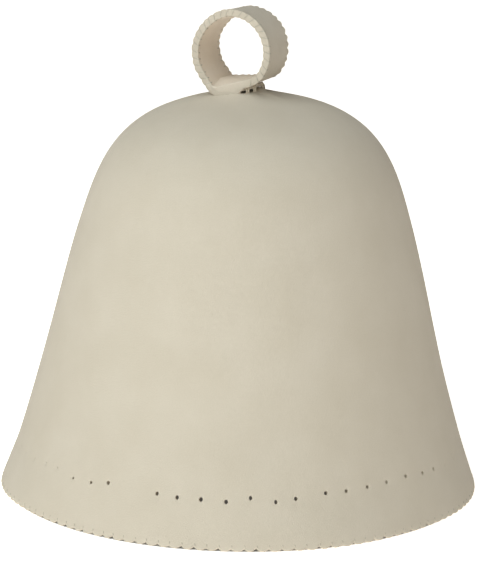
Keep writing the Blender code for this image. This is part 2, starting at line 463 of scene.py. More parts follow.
# %% [markdown]
# ## The line of the loop
# The loop is one strip. It starts as a tongue sewn to the crown, turns up into a ring, and comes
# down on the tongue. Its middle line is a chain of Bezier spans through seven knots, the same
# as the plain model's, so the fine strip lies where the plain one does, to about a millimetre.

# %% The strip's middle line
class Knot(NamedTuple):
    """A point of the strip's middle line, seen along Y, in mm from the crown's apex.
    The heading is in degrees from +X, and a reach is a curve handle's length."""
    across: float
    up: float
    heading: float
    reach_before: float
    reach_after: float


STRIP_WIDTH = 25.0 * MM
STRIP_THICKNESS = 3.0 * MM
LOOP_LEAN = radians(2.8)
LOOP_KNOTS = {
    "tail end": Knot(9.2, 4.6, 189.5, 0.0, 5.0),
    "tack point": Knot(-8.0, 1.7, 180.0, 6.0, 7.0),
    "left side": Knot(-22.8, 24.0, 90.0, 11.0, 9.6),
    "top": Knot(-2.8, 43.7, 0.0, 9.6, 11.4),
    "right side": Knot(17.6, 24.3, -90.0, 11.0, 7.0),
    "landing": Knot(11.1, 10.2, -150.0, 4.0, 5.0),
    "ring end": Knot(-9.6, 6.4, 180.0, 8.0, 0.0),
}
SPAN_STEPS = 60
TAIL_POINTS = 93  # points of the line before it turns up into the ring
TIP_RISE = 1.1 * MM  # how far the stitches hold the tongue's tip up
TIP_RISE_LENGTH = 13.0 * MM
ROLL_STATIONS = (
    # share of the strip's length, and how far its far edge rolls into the ring there
    (0.10, 0.0), (0.20, radians(5.0)), (0.36, 0.0), (0.66, 0.0), (1.00, radians(5.0)),
)


def heading_vector(degrees):
    return Vector((cos(radians(degrees)), sin(radians(degrees))))


def middle_line():
    """Points along the strip's middle, and the length walked to each."""
    knots = list(LOOP_KNOTS.values())
    points = []
    for first, second in zip(knots, knots[1:]):
        start = Vector((first.across, first.up))
        end = Vector((second.across, second.up))
        leaving = start + heading_vector(first.heading) * first.reach_after
        arriving = end - heading_vector(second.heading) * second.reach_before
        points += interpolate_bezier(start * MM, leaving * MM, arriving * MM, end * MM, SPAN_STEPS)
    walked = np.cumsum([0.0] + [(b - a).length for a, b in zip(points, points[1:])])
    return walked, np.array(points)


WALKED, LINE = middle_line()
STRIP_LENGTH = float(WALKED[-1])
ON_CROWN = Matrix.Translation(UP * CROWN_HEIGHT) @ Matrix.Rotation(-LOOP_LEAN, 4, "X")


def line_at(walked):
    """The middle line's point there, and the direction to the ring's inside."""
    step = 0.4 * MM
    inside = min(max(walked, 0.0), STRIP_LENGTH)
    stops = np.clip([inside - step, inside, inside + step], 0.0, STRIP_LENGTH)
    before, here, after = (Vector([np.interp(s, WALKED, LINE[:, i]) for i in (0, 1)]) for s in stops)
    along = (after - before).normalized()
    here += along * (walked - inside)
    here.y += TIP_RISE * fade(walked, 0.0, TIP_RISE_LENGTH)
    return here, Vector((along.y, -along.x))


def roll_at(walked):
    """Slope across the strip there, where its far edge rolls into the ring."""
    return tan(np.interp(walked / STRIP_LENGTH, *zip(*ROLL_STATIONS)))


def bend(flat):
    """Where a point of the flat strip ends up: its x runs along the strip from the tail's
    end, its y across, and its z through the felt towards the ring's inside."""
    here, inward = line_at(flat.x)
    place = here + inward * (flat.z + flat.y * roll_at(flat.x))
    return ON_CROWN @ Vector((place.x, flat.y, place.y))


def tail_height(x, y, through):
    """Height of the tail above the floor at that place on the crown, and at that distance
    through its felt from the middle."""
    walked = float(np.interp(-x, -LINE[:TAIL_POINTS, 0], WALKED[:TAIL_POINTS]))
    here, inward = line_at(walked)
    return (ON_CROWN @ Vector((x, y, here.y + (through + y * roll_at(walked)) / inward.y))).z


print("strip %.1f x %.1f x %.1f mm" % (STRIP_LENGTH / MM, STRIP_WIDTH / MM, STRIP_THICKNESS / MM))

# %% [markdown]
# ## Turning the bell
# The rows are spun once round, five columns to each stitch of the rim, so that a stitch has
# points of its own to pull in. Rows are added just above the rim, along the pierced row and round
# the loop's foot. The sharp foot of the wall is rounded with a bevel, as worn felt is.

# %% Spin the felt
RIM_STITCHES = 124
RIM_STITCH_START = radians(4.0)
COLUMNS_PER_STITCH = 5
RIM_ROUNDING = 1.1 * MM
RIM_BAND = (0.0, 6.0 * MM)  # heights that get more rows
RIM_CUTS = 5
HOLE_BAND = (19.0 * MM, 32.0 * MM)
CROWN_DETAIL = 37.0 * MM  # the rows are closer within this distance of the axis
MERGE_DISTANCE = 0.001 * MM


def is_foot_edge(edge):
    """True for the edges that run round the foot's outer and inner corner."""
    a, b = (vert.co for vert in edge.verts)
    return max(a.z, b.z) < MERGE_DISTANCE and abs(a.xy.length - b.xy.length) < MERGE_DISTANCE


def touches(edge, low, high):
    heights = [vert.co.z for vert in edge.verts]
    return min(heights) < high and max(heights) > low


def round_edges(bm, edges, offset):
    bmesh.ops.bevel(bm, geom=edges, offset=offset, offset_type="OFFSET", affect="EDGES",
                    segments=3, profile=0.5, material=-1)


def spun_bell():
    bm = bmesh.new()
    points = outline(OUTSIDE_STEPS, fine_within=CROWN_DETAIL) + inside_outline(INSIDE_STEPS)
    verts = [bm.verts.new((point.x, 0.0, point.y)) for point in points]
    edges = [bm.edges.new(pair) for pair in zip(verts, verts[1:] + verts[:1])
             if max(vert.co.x for vert in pair) > MERGE_DISTANCE]
    low = [edge for edge in edges if touches(edge, *RIM_BAND)]
    bmesh.ops.subdivide_edges(bm, edges=low, cuts=RIM_CUTS)
    band = [edge for edge in bm.edges if touches(edge, *HOLE_BAND)]
    bmesh.ops.subdivide_edges(bm, edges=band, cuts=1)
    start = Matrix.Rotation(RIM_STITCH_START - pi / 2, 4, "Z")
    bmesh.ops.transform(bm, matrix=start, verts=bm.verts)
    bmesh.ops.spin(bm, geom=bm.verts[:] + bm.edges[:], cent=(0, 0, 0), axis=UP, angle=2 * pi,
                   steps=RIM_STITCHES * COLUMNS_PER_STITCH, use_merge=True)
    poles = [vert for vert in bm.verts if vert.co.xy.length < MERGE_DISTANCE]
    bmesh.ops.remove_doubles(bm, verts=poles, dist=MERGE_DISTANCE)
    bmesh.ops.recalc_face_normals(bm, faces=bm.faces)
    foot = [edge for edge in bm.edges if is_foot_edge(edge)]
    round_edges(bm, foot, RIM_ROUNDING)
    print("spun", len(bm.verts), "points;", len(foot), "foot edges rounded")
    return bm


bell = spun_bell()

# %% [markdown]
# ## The pierced row
# The row is made with an awl, one hole after another, so the holes wander and one was missed. The
# table repeats the plain model's places. The holes themselves are cut by a Boolean a few steps
# further on.

# %% Places of the holes
HOLE_PLACES = 58
HOLE_START = radians(-20.4)
HOLE_HEIGHT = 25.0 * MM
UNPIERCED_PLACE = 3
ROW_WAVE = 1.1 * MM
ROW_WAVES = 4
ROW_WAVE_START = radians(46.0)
HOLE_NUDGES = {
    # place: (along the row, up the wall), in mm
    0: (0.4, -2.0), 1: (0.6, -1.4), 2: (-1.3, 0.7), 4: (2.1, 0.5), 5: (0.0, 0.1),
    6: (-0.5, 0.3), 7: (-0.5, -0.2), 8: (-1.0, 1.7), 9: (-1.0, -0.7), 10: (-3.6, 0.0),
    11: (0.0, 1.0), 12: (-1.3, 0.3), 13: (-1.3, 0.3), 14: (-1.5, 0.5), 15: (0.0, 0.9),
    16: (1.1, -0.2), 17: (-1.1, -0.3),
}
WANDER_ALONG = 0.9
WANDER_UP = 0.6


def wall_frame(azimuth, height):
    """Matrix of a place on the outer wall: its Z points out of the felt, its Y up the wall."""
    step = 0.5 * MM
    low = Vector((radius_at(height - step), height - step))
    high = Vector((radius_at(height + step), height + step))
    along = (high - low).normalized()
    outward = direction(azimuth)
    z_axis = outward * along.y - UP * along.x
    y_axis = outward * along.x + UP * along.y
    place = outward * radius_at(height) + Vector((lean_at(height), 0.0, height))
    return Matrix.LocRotScale(place, Matrix((y_axis.cross(z_axis), y_axis, z_axis)).transposed(), None)


def hole_frames():
    frames = {}
    for place in range(HOLE_PLACES):
        if place == UNPIERCED_PLACE:
            continue
        azimuth = HOLE_START + place * 2 * pi / HOLE_PLACES
        wander = (WANDER_ALONG * sin(2.4 * place), WANDER_UP * sin(1.7 * place))
        along, up = HOLE_NUDGES.get(place, wander)
        wave = ROW_WAVE * sin(ROW_WAVES * (azimuth - ROW_WAVE_START))
        frames[place] = wall_frame(azimuth + along * MM / RIM_RADIUS, HOLE_HEIGHT + wave + up * MM)
    return frames


HOLES = hole_frames()
HOLE_TREE = KDTree(len(HOLES))
for number, hole in enumerate(HOLES.values()):
    HOLE_TREE.insert(hole.translation, number)
HOLE_TREE.balance()
print(len(HOLES), "holes")

# %% [markdown]
# ## What hands and steam do to the felt
# A turned bell is too perfect. The real wall swells and sinks by a fifth of a millimetre, leans a
# little and has one shallow dent, and its rim flares softly in three places. Each stitch lifts
# the rim's edge and squeezes it from both sides, the awl has dished the felt round each hole, and
# the crown is drawn up to the loop. Sculpting would do it too, but could not be repeated, so it
# is all worked out from a point's place. Where an effect dies out, a pair of values says where it
# is whole and where it is gone.

# %% Shape the felt by hand
SWELL = 0.20 * MM
SWELL_SIZE = 42.0 * MM
SWELL_CROWN = (120.0 * MM, 200.0 * MM)  # heights
SWELL_FOOT = (60.0 * MM, 8.0 * MM)
DENT_PLACE = direction(radians(45.0)) * 78 * MM + UP * 165 * MM
DENT_RADIUS = 22.0 * MM
DENT_DEPTH = 0.5 * MM
STITCH_LIFT = 1.35 * MM  # how far a stitch draws the edge up
STITCH_SQUEEZE = 0.55 * MM  # and in, from each side
STITCH_HEIGHTS = (0.6 * MM, 4.0 * MM)
STITCH_WIDTH = 1.05 * MM
RIM_PITCH = 2 * pi * RIM_RADIUS / RIM_STITCHES
GATHER = 0.5  # share by which columns crowd round a stitch
GATHER_HEIGHTS = (5.0 * MM, 14.0 * MM)
DISH_DEPTH = 0.40 * MM
DISH_RADIUS = 1.45 * MM
RIM_FLARES = ((-53.0, 2.1 * MM), (49.0, 1.7 * MM), (96.0, 1.5 * MM))  # degrees round, depth
FLARE_WIDTH = radians(18.0)
FLARE_HEIGHTS = (3.0 * MM, 27.0 * MM)
DRAW_SHARES = ((-0.5 * MM, 1.0), (5.5 * MM, 0.68))  # place along X, share of the gap closed
POCKET = (0.5 * MM, 6.0 * MM)  # how near the tongue's middle the gap at its edge reaches
DRAW_REACH = 10.0 * MM
DRAW_LIMIT = 28.0 * MM
TONGUE_BLUNTNESS = 2.3  # 2 would be a half circle, and more is squarer
TONGUE_CENTRE = -3.3 * MM
TONGUE_FOOT = (-9.0 * MM, -3.0 * MM)  # where the tail starts to lift, and the last place it covers
TONGUE_THINNED = 0.33  # share of its thickness that the tongue's tip loses
THINNED_PLACES = (4.0 * MM, -4.0 * MM)  # along X
TONGUE_CLEARANCE = 0.12 * MM
FILLET = 1.2 * MM  # how far the crown's felt climbs the tongue's side
FILLET_REACH = 1.8 * MM
FILLET_START = (0.2 * MM, -0.6 * MM)  # outside the tongue's edge
FILLET_PLACES = (-1.0 * MM, 4.0 * MM)  # along X


def stitch_strength(number):
    return 0.82 + 0.18 * sin(2.3 * number) + 0.12 * sin(5.1 * number)


def stitch_slip(number):
    """How far a stitch is out of its even place along the rim."""
    return 0.25 * MM * sin(1.9 * number) + 0.15 * MM * sin(4.3 * number)


def rim_pull(azimuth):
    """How hard the nearest stitch draws the rim in at that azimuth, from 0 to about 1."""
    turns = (azimuth - RIM_STITCH_START) / (2 * pi) * RIM_STITCHES
    number = round(turns)
    off = (turns - number) * RIM_PITCH - stitch_slip(number % RIM_STITCHES)
    return stitch_strength(number % RIM_STITCHES) * exp(-(off / STITCH_WIDTH) ** 2)


def shape_rim(co):
    """The rim's points crowd round the stitches, and each stitch lifts and squeezes them."""
    azimuth = atan2(co.x, -co.y)
    radius = co.xy.length
    closeness = fade(co.z, *GATHER_HEIGHTS)
    phase = RIM_STITCHES * (azimuth - RIM_STITCH_START)
    azimuth -= closeness * GATHER * sin(phase) / RIM_STITCHES
    pull = rim_pull(azimuth) * fade(co.z, *STITCH_HEIGHTS)
    middle = RIM_RADIUS - co.z * tan(RIM_SLOPE) - WALL / cos(RIM_SLOPE) / 2
    side = (radius - middle) / (WALL / 2)
    radius -= side * STITCH_SQUEEZE * pull
    height = co.z + STITCH_LIFT * pull
    return direction(azimuth) * radius + UP * height


def flare_at(azimuth, height):
    """How far the rim stands out of its circle there."""
    flare = 0.0
    for middle, depth in RIM_FLARES:
        off = (azimuth - radians(middle) + pi) % (2 * pi) - pi
        flare += depth * exp(-(off / FLARE_WIDTH) ** 2)
    return flare * fade(height, *FLARE_HEIGHTS)


def swell_at(co):
    """How far the felt stands out of its turned shape there."""
    between = fade(co.z, *SWELL_CROWN) * fade(co.z, *SWELL_FOOT)
    swell = SWELL * noise.noise(co / SWELL_SIZE) * between
    dent = DENT_DEPTH * exp(-((co - DENT_PLACE).length / DENT_RADIUS) ** 2)
    return swell - dent + flare_at(atan2(co.x, -co.y), co.z)


def tongue_loss(x):
    """How much thinner the tongue is there than the rest of the strip, all of it from below."""
    return STRIP_THICKNESS * TONGUE_THINNED * fade(x, *THINNED_PLACES)


def drawn_up(x, y):
    """How far the crown's felt is drawn up to the tongue that is sewn on it."""
    lifts, covered = TONGUE_FOOT
    beyond = max(x - TONGUE_CENTRE, covered - x, 0.0)
    blunt = TONGUE_BLUNTNESS
    outside = (beyond ** blunt + abs(y) ** blunt) ** (1 / blunt) - STRIP_WIDTH / 2
    if outside > DRAW_LIMIT:
        return 0.0
    near = exp(-max(outside, 0.0) / DRAW_REACH) * fade(outside, 0.0, DRAW_LIMIT)
    underside = tail_height(max(x, lifts), y, tongue_loss(x) - STRIP_THICKNESS / 2)
    gap = underside - plain_crown(x, y) - TONGUE_CLEARANCE
    climb = fade(outside, *FILLET_START) * exp(-max(outside, 0.0) / FILLET_REACH)
    climb *= fade(x, *FILLET_PLACES)
    slack = (1.0 - float(np.interp(x, *zip(*DRAW_SHARES)))) * (1.0 - fade(abs(y), *POCKET))
    return max(gap, 0.0) * near * (1.0 - slack) + FILLET * climb


def shape_bell(bm):
    for vert in bm.verts:
        co = vert.co.copy()
        if co.z < GATHER_HEIGHTS[1]:
            co = shape_rim(co)
        outward = Vector((co.x, co.y, 0.0))
        if outward.length > MERGE_DISTANCE:
            co += outward.normalized() * swell_at(co)
        co.x += lean_at(co.z)
        if co.z > CROWN_HEIGHT - 2 * WALL:
            co.z += drawn_up(co.x, co.y)
        vert.co = co


def dish_holes(bm):
    """Finer faces round each hole, then a shallow dish pressed into them."""
    near = [face for face in bm.faces if HOLE_TREE.find(face.calc_center_median())[2] < 2 * DISH_RADIUS]
    edges = list({edge for face in near for edge in face.edges})
    bmesh.ops.subdivide_edges(bm, edges=edges, cuts=2, use_grid_fill=True)
    inwards = [-hole.to_3x3().col[2] for hole in HOLES.values()]
    for vert in bm.verts:
        place, number, distance = HOLE_TREE.find(vert.co)
        if distance < 2 * DISH_RADIUS:
            vert.co += inwards[number] * DISH_DEPTH * exp(-(distance / DISH_RADIUS) ** 2)
    print(len(near), "faces made finer round the holes")


shape_bell(bell)
dish_holes(bell)

# %% [markdown]
# ## Cutting the holes
# Each hole is an awl's hole: a little taller than wide, and narrower at the inside. In two
# stretches of the row the wool has nearly closed them again. The cutters are cones joined in one
# object, one Boolean takes them all out, and nothing has to be kept hidden afterwards.

# %% Pierce the felt
AWL_OUTSIDE = 1.05 * MM
AWL_INSIDE = 0.80 * MM
AWL_SIDES = 14
AWL_LENGTH = 3.0 * WALL
HOLE_SIZES = {0: 0.75, 1: 0.85}  # the others are of size 1, or tight
TIGHT_PLACES = {*range(18, 23), *range(52, 58)}
TIGHT_SIZE = 0.34


def awl_cones():
    bm = bmesh.new()
    for place, hole in HOLES.items():
        taller = 1.0 + 0.22 * abs(sin(2.9 * place))
        wider = 0.94 + 0.08 * sin(1.3 * place)
        size = TIGHT_SIZE if place in TIGHT_PLACES else HOLE_SIZES.get(place, 1.0)
        shape = Matrix.Diagonal((size * wider, size * taller, 1.0, 1.0))
        through = hole @ Matrix.Translation(UP * -WALL / 2) @ shape
        bmesh.ops.create_cone(bm, cap_ends=True, segments=AWL_SIDES, radius1=AWL_INSIDE,
                              radius2=AWL_OUTSIDE, depth=AWL_LENGTH, matrix=through)
    return bm


def pierced(bm):
    """The bell's mesh with the awl's holes through it, as a new bmesh."""
    whole = in_scene("whole_bell", as_mesh(bm, "whole_bell"))
    cones = in_scene("awl_cones", as_mesh(awl_cones(), "awl_cones"))
    cut = whole.modifiers.new("pierced row", "BOOLEAN")
    cut.operation = "DIFFERENCE"
    cut.solver = "EXACT"
    cut.object = cones
    result = bmesh.new()
    result.from_object(whole, bpy.context.evaluated_depsgraph_get())
    bpy.data.objects.remove(whole)
    bpy.data.objects.remove(cones)
    return result


felt_bell = finish_piece(pierced(bell), "felt_bell_fine", BELL_FELT)
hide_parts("felt_bell")

# %% [markdown]
# ## The strip
# The strip is made as it is by hand: cut flat, overcast along its edges, then bent round. Flat,
# it is a grid given a thickness, with rounded edges. Each overcast stitch draws the edge in and
# leaves a small lobe of felt between it and the next. Only then is every point bent onto the
# ring, as a ring would be far harder to scallop.

# %% Cut, scallop and bend the strip
EDGE_PITCH = 3.7 * MM
FINE_LENGTH = STRIP_LENGTH + 6.5 * MM  # its end runs on to the ring's left wall
EDGE_STITCHES = round(FINE_LENGTH / EDGE_PITCH)
EDGE_STEP = FINE_LENGTH / EDGE_STITCHES
STEPS_PER_STITCH = 8
STRIP_COLUMNS = 22
CORNER_ANGLE = radians(60.0)
EDGE_ROUNDING = 0.8 * MM
COLUMN_CROWDING = 0.3  # how much the columns crowd towards the edges
EDGE_ZONE = (1.0, 0.78)  # shares of the half width
UNEVEN = 0.12 * MM
UNEVEN_SIZE = 6.0 * MM
EDGE_LEFT_OUT = {-1: (7, 6), 1: (4, 0)}  # stitches left out at the tail, and at the end
SCALLOP_DEPTHS = {-1: 0.35 * MM, 1: 1.15 * MM}  # on the near edge, and on the far one
SCALLOP_WIDTH = 0.85 * MM
SCALLOP_INSIDE = 0.45  # share of a scallop's depth on the face inside the ring
SCALLOP_SQUEEZE = 0.12
LOBE_SWELL = 0.15
EDGE_THICKER = {-1: 0.22, 1: 0.0}  # share by which the ring's edge is thicker than its middle
THICKER_ALONG = (28.0 * MM, 20.0 * MM)
TAIL_TIP = 3.0 * MM
PRESSED_LENGTH = 36.0 * MM  # of the ring's end, on the tail
PRESSED_ACROSS = (-9.0 * MM, 3.0 * MM)
PRESSED_PLACES = (1.5 * MM, 7.0 * MM)  # along X
SKIVE = 0.85  # share of its thickness that the ring's end loses
SKIVE_LENGTH = 15.0 * MM
END_DROP = 0.6 * MM  # how far the end's far edge sinks towards the tail
DROP_FROM_END = (4.0 * MM, 14.0 * MM)
DROP_ACROSS = (10.0 * MM, -2.0 * MM)
FELTED_ACROSS = (-12.1 * MM, -11.2 * MM)  # the near side, which is felted down
FELTED_THROUGH = (-0.9 * MM, 0.3 * MM)
END_FELTED = Vector((0.0, -0.25 * MM, -0.9 * STRIP_THICKNESS))
TAIL_FELTED = Vector((0.0, -0.45 * MM, -0.35 * MM))
TAIL_LENGTH = 26.0 * MM
TAIL_RIGHT = (0.0, 4.0 * MM)  # along X
TAIL_LEFT = (-9.0 * MM, -15.0 * MM)
TUCK = 1.3 * MM  # how far the corner between tail and ring is drawn in
TUCK_PLACE = 29.0 * MM
TUCK_WIDTH = 6.5 * MM
# The painted light on the ring's inside fades in across and through the strip here.
FACE_ACROSS = (10.0 * MM, 12.2 * MM)  # the colour of the ring's inside
FACE_THROUGH = (1.2 * MM, -0.6 * MM)
# The painted light also runs on, at a share, over the felted-down near edge.
MERGED_FROM_END = (16.0 * MM, 28.0 * MM)
MERGED_ACROSS = (-2.0 * MM, 0.0)
MERGED_SHARE = 0.6


def half_width(from_tail):
    full = STRIP_WIDTH / 2
    blunt = TONGUE_BLUNTNESS
    inside = max(full - from_tail, 0.0)
    return max((full ** blunt - min(inside, full) ** blunt) ** (1 / blunt), TAIL_TIP)


def edge_slip(number, side):
    """How far an edge stitch is out of its even place along the strip."""
    return 0.2 * MM * sin(2.1 * number + side)


def edge_pull(along, side):
    """How hard the nearest edge stitch draws the felt in there, from 0 to about 1."""
    number = round(along / EDGE_STEP)
    at_tail, at_end = EDGE_LEFT_OUT[side]
    if number < at_tail or number >= EDGE_STITCHES - at_end:
        return 0.0
    off = along - number * EDGE_STEP - edge_slip(number, side)
    strength = 0.85 + 0.15 * sin(3.7 * number + 2 * side)
    return strength * exp(-(off / SCALLOP_WIDTH) ** 2)


def shape_strip(flat):
    """The flat strip's rounded tail, scalloped edges and slightly uneven felt."""
    share = flat.y / (STRIP_WIDTH / 2)
    side = 1 if share > 0 else -1
    crowded = (1 + COLUMN_CROWDING) * share - COLUMN_CROWDING * share ** 3
    at_edge = fade(abs(crowded), *EDGE_ZONE)
    pull = edge_pull(flat.x, side) * at_edge
    outer = fade(flat.z, -STRIP_THICKNESS / 2, STRIP_THICKNESS / 2)
    depth = SCALLOP_DEPTHS[side] * (SCALLOP_INSIDE + (1 - SCALLOP_INSIDE) * outer)
    y = crowded * half_width(flat.x) - side * depth * pull
    thicker = EDGE_THICKER[side] * at_edge * fade(flat.x, *THICKER_ALONG)
    z = flat.z * (1 + thicker - SCALLOP_SQUEEZE * pull + LOBE_SWELL * (at_edge - pull))
    z += UNEVEN * noise.noise(Vector((flat.x, flat.y, 0.0)) / UNEVEN_SIZE)
    return Vector((flat.x, y, z))


def end_share(from_end):
    """Share of its thickness that the strip keeps at that distance from the ring's end."""
    return 1.0 - SKIVE * fade(from_end, 0.0, SKIVE_LENGTH)


def felted_side(flat):
    """1 on the lower half of the strip's near side, 0 on the rest of it."""
    return fade(flat.y, *FELTED_ACROSS) * fade(flat.z, *FELTED_THROUGH)


def lay(flat):
    """The same as bend, but felted down where the loop is sewn on. The ring's end is thinned
    and pressed on the tail, most of all at its near edge, and no groove is left there."""
    tuck = TUCK * exp(-((flat.x - TUCK_PLACE) / TUCK_WIDTH) ** 2)
    place = bend(flat + UP * tuck)
    half = STRIP_THICKNESS / 2
    from_end = FINE_LENGTH - flat.x
    if from_end < PRESSED_LENGTH:
        on_tail = tail_height(place.x, place.y, half) + (flat.z + half) * end_share(from_end)
        pressed = fade(flat.y, *PRESSED_ACROSS) * fade(place.x, *PRESSED_PLACES)
        place.z += (on_tail - place.z) * pressed
        place.z -= END_DROP * fade(from_end, *DROP_FROM_END) * fade(flat.y, *DROP_ACROSS)
        place += END_FELTED * (felted_side(flat) * pressed)
    elif flat.x < TAIL_LENGTH:
        on_crown = fade(place.x, *TAIL_RIGHT) * fade(place.x, *TAIL_LEFT)
        place += TAIL_FELTED * (felted_side(flat) * on_crown)
        place.z += tongue_loss(place.x) * (half - flat.z) / STRIP_THICKNESS
    return place


def lit_face_share(flat):
    """1 on the face inside the ring, where painted light makes it paler, 0 on the outer one. It fades
    out at the edges, but runs on over the near edge where the ring's end is felted down."""
    on_face = fade(abs(flat.y), *FACE_ACROSS)
    merged = fade(FINE_LENGTH - flat.x, *MERGED_FROM_END) * fade(flat.y, *MERGED_ACROSS)
    return fade(flat.z, *FACE_THROUGH) * max(on_face, MERGED_SHARE * merged)


def build_strip():
    bm = bmesh.new()
    steps = EDGE_STITCHES * STEPS_PER_STITCH
    bmesh.ops.create_grid(bm, x_segments=steps, y_segments=STRIP_COLUMNS, size=1.0)
    size = Matrix.Diagonal((FINE_LENGTH / 2, STRIP_WIDTH / 2, 1.0, 1.0))
    bmesh.ops.transform(bm, matrix=Matrix.Translation((FINE_LENGTH / 2, 0, 0)) @ size, verts=bm.verts)
    bmesh.ops.solidify(bm, geom=bm.faces[:], thickness=STRIP_THICKNESS)
    heights = [vert.co.z for vert in bm.verts]
    centre = Matrix.Translation(UP * -(min(heights) + max(heights)) / 2)
    bmesh.ops.transform(bm, matrix=centre, verts=bm.verts)
    bmesh.ops.recalc_face_normals(bm, faces=bm.faces)
    corners = [edge for edge in bm.edges if edge.calc_face_angle(0.0) > CORNER_ANGLE]
    round_edges(bm, corners, EDGE_ROUNDING)
    # Each point carries its share of the painted light inside the ring.
    share = bm.verts.layers.float.new(LIT_INSIDE_SHARE)
    for vert in bm.verts:
        vert[share] = lit_face_share(vert.co)
        vert.co = lay(shape_strip(vert.co))
    bmesh.ops.recalc_face_normals(bm, faces=bm.faces)
    return finish_piece(bm, "hanging_loop_fine", STRIP_FELT)


hanging_loop = build_strip()
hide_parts("hanging_loop")

# %% [markdown]
# ## A stitch
# Every stitch on this hat lies on one face of the felt, goes round an edge, and lies on the other
# face. Its thread is twisted. A curve with a bevel would have a round section, so here a
# flattened section is extruded and turned step by step into a straight thread, which is then
# wrapped round.

# %% Thread and stitch
class Wrap(NamedTuple):
    """How a stitch goes round an edge: half the height it spans, how far it stands out
    past the edge, how far its legs reach back, and the thread's radius."""
    gap: float
    bulge: float
    leg: float
    thread: float


THREAD_SIDES = 8
THREAD_STEPS = 18
PLY_FLATNESS = 0.74
TWIST_PER_STEP = radians(32.0)
LEG_SINK = 0.55  # share of its thickness by which a leg's end dives in
LEG_DIVE = 0.12  # share of the stitch's length over which it dives


def straight_thread(radius):
    """A twisted thread from x = 0 to x = 1."""
    bm = bmesh.new()
    flat_ply = Matrix.Diagonal((1.0, PLY_FLATNESS, 1.0, 1.0))
    facing_x = Matrix.Rotation(pi / 2, 4, "Y")
    bmesh.ops.create_circle(bm, cap_ends=True, radius=radius, segments=THREAD_SIDES,
                            matrix=facing_x @ flat_ply)
    ring = bm.edges[:]
    turn = Matrix.Rotation(TWIST_PER_STEP, 4, "X")
    for step in range(THREAD_STEPS):
        grown = bmesh.ops.extrude_edge_only(bm, edges=ring)["geom"]
        moved = [item for item in grown if isinstance(item, bmesh.types.BMVert)]
        ring = [item for item in grown if isinstance(item, bmesh.types.BMEdge)
                and set(item.verts) <= set(moved)]
        forward = Matrix.Translation((1.0 / THREAD_STEPS, 0, 0))
        bmesh.ops.transform(bm, matrix=forward @ turn, verts=moved)
    bmesh.ops.holes_fill(bm, edges=ring, sides=0)
    bmesh.ops.recalc_face_normals(bm, faces=bm.faces)
    return bm


def wrap_point(share, wrap):
    """The stitch's middle line and the angle it points in, at that share of its length. It
    starts inboard on the upper face, goes round the edge at x = 0 and ends below."""
    turn_length = pi * (wrap.gap + wrap.bulge) / 2
    walked = share * (2 * wrap.leg + turn_length)
    dive = fade(min(share, 1 - share), 0.0, LEG_DIVE) * LEG_SINK * 2 * wrap.thread
    if walked < wrap.leg:
        return Vector((walked - wrap.leg, 0.0, wrap.gap - dive)), 0.0
    if walked > wrap.leg + turn_length:
        back = walked - wrap.leg - turn_length
        return Vector((-back, 0.0, -wrap.gap + dive)), pi
    angle = (walked - wrap.leg) / turn_length * pi
    return Vector((wrap.bulge * sin(angle), 0.0, wrap.gap * cos(angle))), angle


def stitch_mesh(name, wrap):
    """One stitch round an edge that runs along Y, the felt being on the side of -X."""
    bm = straight_thread(wrap.thread)
    for vert in bm.verts:
        centre, angle = wrap_point(vert.co.x, wrap)
        across = Vector((sin(angle), 0.0, cos(angle))) * vert.co.z + Vector((0.0, vert.co.y, 0.0))
        vert.co = centre + across
    bmesh.ops.recalc_face_normals(bm, faces=bm.faces)
    return as_mesh(bm, name)


def sew(bm, stitch, matrix, after=None):
    """Copies the stitch into bm at that matrix, and bends it if a bend is given."""
    first = len(bm.verts)
    bm.from_mesh(stitch)
    bm.verts.ensure_lookup_table()
    for vert in bm.verts[first:]:
        co = matrix @ vert.co
        vert.co = after(co) if after else co


def slanted(rise, length):
    """A shear that carries one leg of a stitch along the edge past the other."""
    shear = Matrix.Identity(4)
    shear[1][2] = length / (2 * rise)
    return shear


# %% [markdown]
# ## Overcasting the rim
# The rim's stitches sink into the notches that they made, so little of them shows: a short dark
# dash at the edge every six millimetres. Each is the same stitch turned to its own place, a
# little steeper or flatter than its neighbour.

# %% Stitches of the rim
RIM_WRAP = Wrap(gap=1.18 * MM, bulge=0.75 * MM, leg=1.5 * MM, thread=0.30 * MM)
RIM_WRAP_HEIGHT = 2.05 * MM
RIM_SLANT = 1.3 * MM


def build_rim_stitches():
    stitch = stitch_mesh("rim_stitch", RIM_WRAP)
    bm = bmesh.new()
    circle = RIM_RADIUS - WALL / cos(RIM_SLOPE) / 2 - RIM_WRAP_HEIGHT * tan(RIM_SLOPE)
    edge_down = Matrix.Rotation(pi / 2 + RIM_SLOPE, 4, "Y")
    for number in range(RIM_STITCHES):
        azimuth = RIM_STITCH_START + 2 * pi * number / RIM_STITCHES + stitch_slip(number) / RIM_RADIUS
        turn = Matrix.Rotation(azimuth - pi / 2, 4, "Z")
        middle = circle + flare_at(azimuth, RIM_WRAP_HEIGHT)
        place = Matrix.Translation((middle, 0.0, RIM_WRAP_HEIGHT))
        slant = slanted(RIM_WRAP.gap, RIM_SLANT * stitch_strength(number))
        sew(bm, stitch, turn @ place @ edge_down @ slant)
    finish_piece(bm, "rim_stitches", FINE_THREAD)


build_rim_stitches()

# %% [markdown]
# ## Overcasting the strip
# Along the strip the stitches are closer and lie on the felt, so they read as a pale bumpy cord
# on both edges. They are sewn to the flat strip, at the same steps as its scallops, and bent
# round with it. None are needed where heavier stitches sew the loop down.

# %% Stitches of the strip's edges
EDGE_WRAPS = {-1: Wrap(gap=1.68 * MM, bulge=0.55 * MM, leg=2.1 * MM, thread=0.36 * MM),
              1: Wrap(gap=1.42 * MM, bulge=0.40 * MM, leg=1.8 * MM, thread=0.30 * MM)}
EDGE_SLANT = 1.5 * MM
EDGE_OUTSET = {-1: 0.20 * MM, 1: -0.05 * MM}


